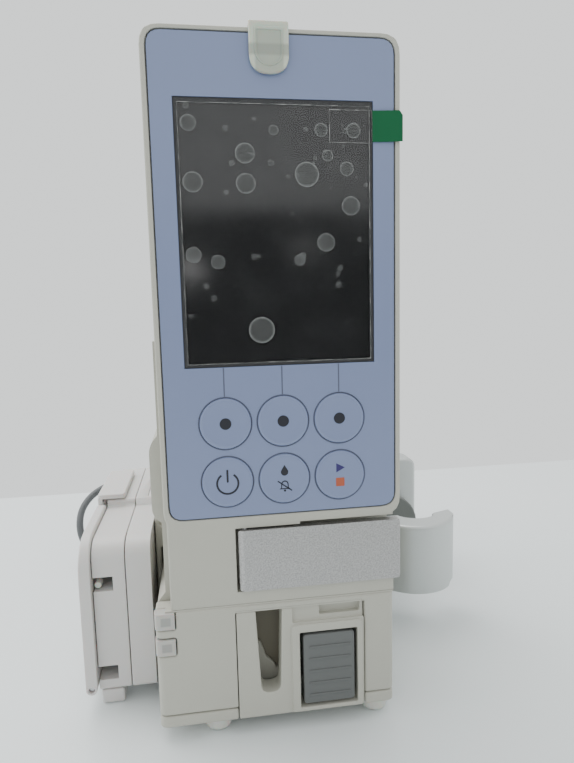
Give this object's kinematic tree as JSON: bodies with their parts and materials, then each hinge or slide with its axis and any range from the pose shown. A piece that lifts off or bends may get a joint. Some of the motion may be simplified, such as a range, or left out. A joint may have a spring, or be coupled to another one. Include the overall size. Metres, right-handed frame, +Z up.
{
  "type": "infusion pump",
  "caption": "Upright infusion pump with display, six keys, lever, tube door, side pole clamp and a clip-on line warmer with a short lead.",
  "frame": {"origin": "bottom centre of the box of the pump, clamp and warmer, without the lead, on the table", "axes": "+Z up, front with the display faces -Y, pole clamp on +X"},
  "size_m": [0.1797, 0.1714, 0.214],
  "materials": {
    "beige_plastic": "fine spark-eroded texture",
    "blue_overlay": "satin printed overlay",
    "white_plastic": "satin",
    "grey_plastic": "matt",
    "screen_glass": "gloss",
    "display": "gloss",
    "clear_film": "clear gloss",
    "green_tab": "satin",
    "alarm_lens": "translucent satin",
    "satin_aluminium": "bead blasted and anodised",
    "cast_aluminium": "fine blasted casting",
    "steel": "ground",
    "rubber_feet": "translucent satin",
    "clamp_rubber": "matt",
    "black_plastic": "matt",
    "circuit_board": "satin",
    "heater_plate": "anodised",
    "lead_jacket": "matt"
  },
  "bodies": {
    "housing": {"rear_housing": "beige_plastic", "front_frame": "beige_plastic", "battery_door": "beige_plastic", "lower_front_cover": "beige_plastic", "base_tray": "beige_plastic", "warmer_bracket": "beige_plastic", "keypad_panel": "blue_overlay", "warmer_outer_shell": "white_plastic", "warmer_inner_shell": "white_plastic", "warmer_foot": "white_plastic", "lead_relief": "grey_plastic", "lead_connector": "grey_plastic", "pump_chassis": "grey_plastic", "battery_pack": "grey_plastic", "screen_window": "screen_glass", "lcd_module": "display", "screen_film": "clear_film", "film_pull_tab": "green_tab", "alarm_lens": "alarm_lens", "status_lens_upper": "alarm_lens", "status_lens_lower": "alarm_lens", "clamp_bracket": "cast_aluminium", "lever_pin": "steel", "warmer_hinge_pin": "steel", "pump_motor": "steel", "accessory_socket": "steel", "foot_1": "rubber_feet", "foot_2": "rubber_feet", "foot_3": "rubber_feet", "foot_4": "rubber_feet", "keypad_mat": "rubber_feet", "clamp_liner": "clamp_rubber", "power_inlet": "black_plastic", "alarm_speaker": "black_plastic", "display_board": "circuit_board", "main_board": "circuit_board", "warmer_heater_plate": "heater_plate", "warmer_lead": "lead_jacket"},
    "lever": {"lever_plate": "satin_aluminium"},
    "door": {"door_panel": "beige_plastic"},
    "door_latch": {"door_latch_button": "grey_plastic"},
    "rotor": {"pump_rotor": "white_plastic"},
    "roller_1": {"pump_roller_1": "steel"},
    "roller_2": {"pump_roller_2": "steel"},
    "roller_3": {"pump_roller_3": "steel"},
    "pinion": {"motor_pinion": "steel"},
    "clamp_carriage": {"clamp_pad": "clamp_rubber"},
    "clamp_spindle": {"clamp_screw": "steel", "clamp_knob": "black_plastic"},
    "warmer_lid": {"warmer_cover": "white_plastic"},
    "warmer_catch": {"warmer_latch": "white_plastic"},
    "key_soft_left_body": {"key_soft_left": "blue_overlay"},
    "key_soft_middle_body": {"key_soft_middle": "blue_overlay"},
    "key_soft_right_body": {"key_soft_right": "blue_overlay"},
    "key_power_body": {"key_power": "blue_overlay"},
    "key_purge_body": {"key_purge": "blue_overlay"},
    "key_start_body": {"key_start": "blue_overlay"}
  },
  "joints": [
    {"name": "key_soft_left_press", "type": "slide", "parent": "housing", "child": "key_soft_left_body", "axis": [0, 1, 0], "range_m": [0, 0.0006], "stiffness_N_per_m": 400},
    {"name": "key_soft_middle_press", "type": "slide", "parent": "housing", "child": "key_soft_middle_body", "axis": [0, 1, 0], "range_m": [0, 0.0006], "stiffness_N_per_m": 400},
    {"name": "key_soft_right_press", "type": "slide", "parent": "housing", "child": "key_soft_right_body", "axis": [0, 1, 0], "range_m": [0, 0.0006], "stiffness_N_per_m": 400},
    {"name": "key_power_press", "type": "slide", "parent": "housing", "child": "key_power_body", "axis": [0, 1, 0], "range_m": [0, 0.0006], "stiffness_N_per_m": 400},
    {"name": "key_purge_press", "type": "slide", "parent": "housing", "child": "key_purge_body", "axis": [0, 1, 0], "range_m": [0, 0.0006], "stiffness_N_per_m": 400},
    {"name": "key_start_press", "type": "slide", "parent": "housing", "child": "key_start_body", "axis": [0, 1, 0], "range_m": [0, 0.0006], "stiffness_N_per_m": 400},
    {"name": "lever_swing", "type": "hinge", "parent": "housing", "child": "lever", "pos_m": [-0.02215, -0.08285, 0.058], "axis": [0, 0, -1], "range_deg": [0, 100]},
    {"name": "door_open", "type": "hinge", "parent": "housing", "child": "door", "pos_m": [-0.00545, -0.08025, 0.012], "axis": [1, 0, 0], "range_deg": [0, 75]},
    {"name": "door_latch_press", "type": "slide", "parent": "door", "child": "door_latch", "axis": [0, 1, 0], "range_m": [0, 0.0025], "stiffness_N_per_m": 400},
    {"name": "rotor_spin", "type": "hinge", "parent": "housing", "child": "rotor", "pos_m": [-0.00545, -0.06425, 0.025], "axis": [0, 1, 0], "continuous": true},
    {"name": "pinion_spin", "type": "hinge", "parent": "housing", "child": "pinion", "pos_m": [0.00955, -0.04925, 0.025], "axis": [0, 1, 0], "continuous": true},
    {"name": "roller_1_spin", "type": "hinge", "parent": "rotor", "child": "roller_1", "pos_m": [-0.00545, -0.06425, 0.0332], "axis": [0, 1, 0], "continuous": true},
    {"name": "roller_2_spin", "type": "hinge", "parent": "rotor", "child": "roller_2", "pos_m": [-0.01255, -0.06425, 0.0209], "axis": [0, 1, 0], "continuous": true},
    {"name": "roller_3_spin", "type": "hinge", "parent": "rotor", "child": "roller_3", "pos_m": [0.00165, -0.06425, 0.0209], "axis": [0, 1, 0], "continuous": true},
    {"name": "clamp_travel", "type": "slide", "parent": "housing", "child": "clamp_carriage", "axis": [0, -1, 0], "range_m": [0, 0.024]},
    {"name": "clamp_turn", "type": "hinge", "parent": "clamp_carriage", "child": "clamp_spindle", "pos_m": [0.05755, 0.03575, 0.026], "axis": [0, -1, 0], "range_deg": [0, 2160]},
    {"name": "warmer_lid_open", "type": "hinge", "parent": "housing", "child": "warmer_lid", "pos_m": [-0.07475, -0.01825, 0.0078], "axis": [0, -1, 0], "range_deg": [0, 90]},
    {"name": "warmer_catch_lift", "type": "hinge", "parent": "warmer_lid", "child": "warmer_catch", "pos_m": [-0.07565, -0.00725, 0.0592], "axis": [0, -1, 0], "range_deg": [0, 40]}
  ],
  "couplings": [
    {"joint": "pinion_spin", "follows": "rotor_spin", "ratio": -2.5714},
    {"joint": "clamp_turn", "follows": "clamp_travel", "rad_per_m": 1570}
  ]
}
